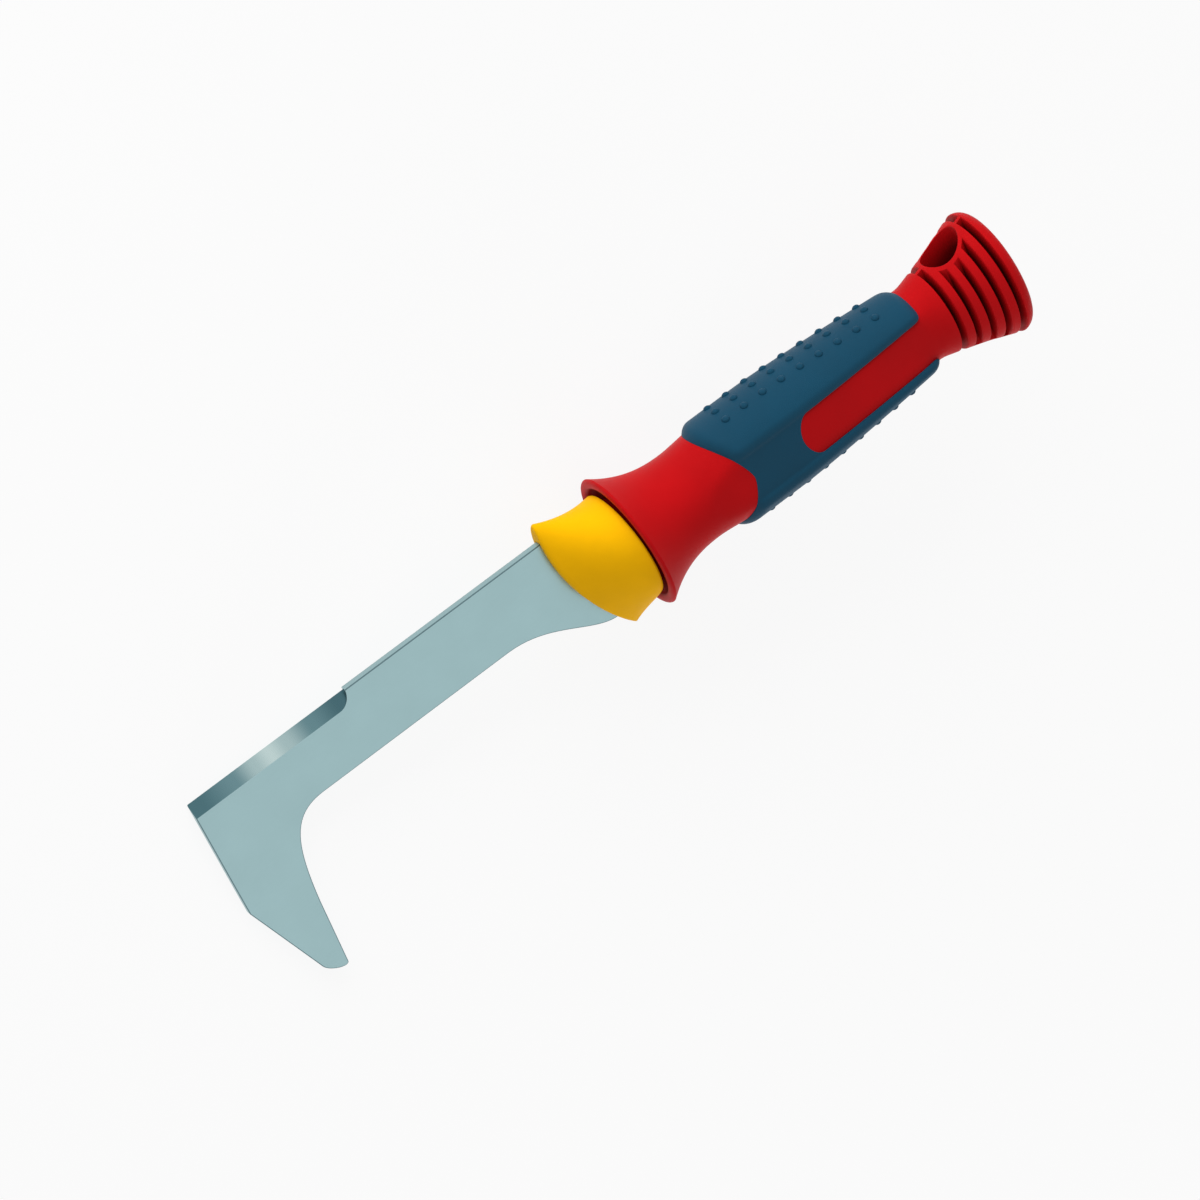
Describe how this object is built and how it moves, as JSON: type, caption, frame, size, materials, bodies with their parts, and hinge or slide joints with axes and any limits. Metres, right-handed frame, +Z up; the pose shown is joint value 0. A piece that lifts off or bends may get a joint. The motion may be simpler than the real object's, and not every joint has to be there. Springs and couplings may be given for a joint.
{
  "type": "hand weeding knife",
  "caption": "Hand weeding knife: L-shaped steel blade in a moulded collar, plugged into a flared plastic handle with a soft dimpled grip and a finned butt with a hang hole.",
  "frame": {"origin": "on the floor, under the centre of the tool's box, with the tool lying on the blade's front edge and the rim of the bell", "axes": "+X along the tool from blade to butt, +Y from the handle's axis to the blade's spine, +Z up, out of the blade's ground face"},
  "size_m": [0.3222, 0.0902, 0.0641],
  "materials": {
    "blade_steel": "satin stamped steel with a ground edge",
    "collar_plastic": "satin yellow plastic",
    "handle_plastic": "satin red plastic",
    "grip_rubber": "matt dark blue soft plastic"
  },
  "bodies": {
    "root": {"blade": "blade_steel", "collar": "collar_plastic", "handle": "handle_plastic", "soft_grip": "grip_rubber"}
  },
  "joints": []
}
